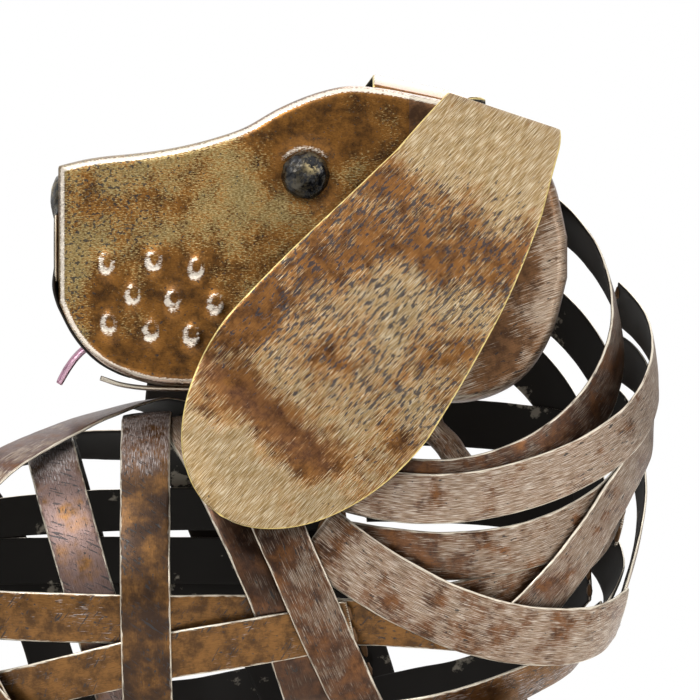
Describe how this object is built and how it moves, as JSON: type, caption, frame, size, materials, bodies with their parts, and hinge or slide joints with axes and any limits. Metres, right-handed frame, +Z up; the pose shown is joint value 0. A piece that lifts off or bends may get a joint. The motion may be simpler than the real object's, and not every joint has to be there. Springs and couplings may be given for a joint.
{
  "type": "metal dog sculpture",
  "caption": "Standing puppy sculpture of bent, overlapped and welded lacquered iron strips, hollow inside, with a sheet-metal head turned back and long leaf-shaped ears.",
  "frame": {"origin": "centre of the bounding box of the whole sculpture, on the plane of the paw soles", "axes": "+X towards the dog's chest, +Y towards the side of the dog away from the viewer, +Z up"},
  "size_m": [0.228, 0.1146, 0.2491],
  "materials": {
    "strip_bronze": "brown bronze lacquer, dry-brushed with champagne and gold, speckled black, with bare bright edges and black inner faces",
    "head_bronze": "orange-brown bronze lacquer with brushed gold and dark speckles, satin to gloss",
    "brushed_ear": "gold lacquer scratched through on the slant, with dark speckles and brown hollows",
    "leg_bronze": "brown bronze lacquer, dry-brushed with gold, satin",
    "black_casting": "glossy bumpy black enamel",
    "pink_lacquer": "thin dusty pink lacquer, darker at the tip"
  },
  "bodies": {
    "root": {"far_chest_band_1": "strip_bronze", "far_chest_band_2": "strip_bronze", "far_chest_band_3": "strip_bronze", "far_chest_band_4": "strip_bronze", "far_chest_band_6": "strip_bronze", "far_chest_band_5": "strip_bronze", "chest_band_3": "strip_bronze", "chest_band_2": "strip_bronze", "chest_band_4": "strip_bronze", "collar_band_4": "strip_bronze", "collar_band_3": "strip_bronze", "collar_band_1": "strip_bronze", "collar_band_2": "strip_bronze", "far_flank_band_1": "strip_bronze", "far_flank_band_2": "strip_bronze", "barrel_hoop_2": "strip_bronze", "flank_band_1": "strip_bronze", "barrel_hoop_3": "strip_bronze", "flank_band_2": "strip_bronze", "flank_band_3": "strip_bronze", "rump_band_1": "strip_bronze", "belly_band": "strip_bronze", "rump_band_2": "strip_bronze", "chest_band_1": "strip_bronze", "barrel_hoop_4": "strip_bronze", "barrel_hoop_1": "strip_bronze", "spine_band": "strip_bronze", "head": "head_bronze", "eye_near": "black_casting", "eye_far": "black_casting", "nose": "black_casting", "lower_jaw": "head_bronze", "tongue": "pink_lacquer", "ear_near": "brushed_ear", "ear_far": "brushed_ear", "neck_strut": "strip_bronze", "leg_front_near": "leg_bronze", "leg_wrap_front_near": "strip_bronze", "paw_front_near": "leg_bronze", "leg_front_far": "leg_bronze", "leg_wrap_front_far": "strip_bronze", "paw_front_far": "leg_bronze", "leg_rear_near": "leg_bronze", "leg_wrap_rear_near": "strip_bronze", "paw_rear_near": "leg_bronze", "leg_rear_far": "leg_bronze", "leg_wrap_rear_far": "strip_bronze", "paw_rear_far": "leg_bronze", "tail": "strip_bronze"}
  },
  "joints": []
}
